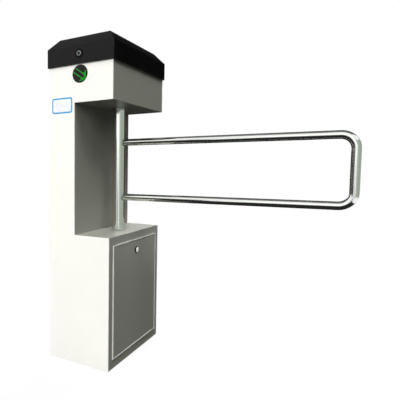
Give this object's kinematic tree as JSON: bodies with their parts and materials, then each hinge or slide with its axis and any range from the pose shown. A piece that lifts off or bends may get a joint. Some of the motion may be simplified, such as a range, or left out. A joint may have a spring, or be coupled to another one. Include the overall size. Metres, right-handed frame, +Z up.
{
  "type": "swing barrier gate",
  "caption": "C-shaped sheet-metal gate cabinet with a bevelled lid, a service door and a polished U-shaped tube arm that swings on an upright shaft.",
  "frame": {"origin": "centre of the four floor anchor holes, on the floor under the middle of the base", "axes": "+Z up, +X along the arm at rest, -Y out of the front fascia, which carries the round indicator"},
  "size_m": [0.817, 0.3815, 1],
  "materials": {
    "white_coat": "satin",
    "grey_coat": "satin",
    "black_coat": "satin",
    "polished_steel": "polished",
    "plated_steel": "satin",
    "gear_steel": "satin",
    "cast_housing": "matte",
    "key_brass": "satin",
    "black_rubber": "matte",
    "light_rubber": "matte",
    "white_nylon": "matte",
    "grey_plastic": "matte",
    "light_plastic": "matte",
    "black_plastic": "matte",
    "black_acrylic": "gloss",
    "board_green": "gloss",
    "motor_paint": "satin"
  },
  "bodies": {
    "cabinet": {"base_plate": "plated_steel", "cable_grommet": "black_rubber", "left_side_panel": "grey_coat", "base_side_panel": "grey_coat", "base_top_panel": "grey_coat", "recess_panel": "grey_coat", "head_floor_panel": "grey_coat", "head_side_panel": "grey_coat", "front_fascia": "white_coat", "back_fascia": "white_coat", "rim_gasket": "black_rubber", "lid_catch": "plated_steel", "door_seal": "light_rubber", "lid_hinge_lower_leaves": "black_coat", "hinge_pins": "plated_steel", "bearing_housings": "cast_housing", "ball_bearings": "plated_steel", "shaft_bush": "white_nylon", "drive_plate": "plated_steel", "frame_posts": "plated_steel", "gear_motor": "motor_paint", "holding_brake": "black_plastic", "fasteners": "plated_steel", "stop_buffers": "black_rubber", "sensor_bracket": "plated_steel", "limit_sensors": "plated_steel", "mounting_rail": "plated_steel", "terminal_blocks": "grey_plastic", "circuit_breaker": "light_plastic", "power_supply": "plated_steel", "control_board": "board_green", "indicator_lenses": "black_acrylic", "indicator_housings": "black_plastic", "indicator_boards": "board_green"},
    "arm": {"arm_tube": "polished_steel", "post_tube": "polished_steel", "post_plugs": "gear_steel", "post_collars": "polished_steel", "main_shaft": "gear_steel", "shaft_circlips": "gear_steel", "thrust_sleeve": "plated_steel", "drive_gear": "gear_steel", "gear_key": "key_brass", "position_disc": "plated_steel", "stop_lever": "gear_steel"},
    "pinion": {"motor_pinion": "gear_steel", "output_shaft": "gear_steel"},
    "door": {"door_panel": "grey_coat", "door_lock_barrel": "polished_steel", "door_lock_nut": "plated_steel"},
    "door_lock_turn_body": {"door_lock_plug": "polished_steel", "door_lock_cam": "plated_steel"},
    "lid": {"lid_shell": "black_coat", "lid_ledge_frame": "black_coat", "lid_lock_rosette": "black_plastic", "lid_lock_barrel": "polished_steel", "lid_lock_nut": "plated_steel", "lid_hinge_upper_leaves": "black_coat"},
    "lid_lock_turn_body": {"lid_lock_plug": "polished_steel", "lid_lock_cam": "plated_steel"}
  },
  "joints": [
    {"name": "arm_swing", "type": "hinge", "parent": "cabinet", "child": "arm", "pos_m": [0.041, 0, 0.6], "axis": [0, 0, 1], "range_deg": [-90, 90]},
    {"name": "pinion_spin", "type": "hinge", "parent": "cabinet", "child": "pinion", "pos_m": [-0.022, 0, 0.29], "axis": [0, 0, 1], "range_deg": [-270, 270]},
    {"name": "door_tilt", "type": "hinge", "parent": "cabinet", "child": "door", "pos_m": [0.102, 0, 0.053], "axis": [0, 1, 0], "range_deg": [0, 90]},
    {"name": "door_lock_turn", "type": "hinge", "parent": "door", "child": "door_lock_turn_body", "pos_m": [0.108, 0, 0.342], "axis": [1, 0, 0], "range_deg": [0, 90]},
    {"name": "lid_lift", "type": "hinge", "parent": "cabinet", "child": "lid", "pos_m": [0.005, 0.1895, 0.911], "axis": [-1, 0, 0], "range_deg": [0, 100]},
    {"name": "lid_lock_turn", "type": "hinge", "parent": "lid", "child": "lid_lock_turn_body", "pos_m": [0.005, -0.185, 0.943], "axis": [0, -1, 0], "range_deg": [0, 90]}
  ],
  "couplings": [
    {"joint": "pinion_spin", "follows": "arm_swing", "ratio": -3}
  ]
}
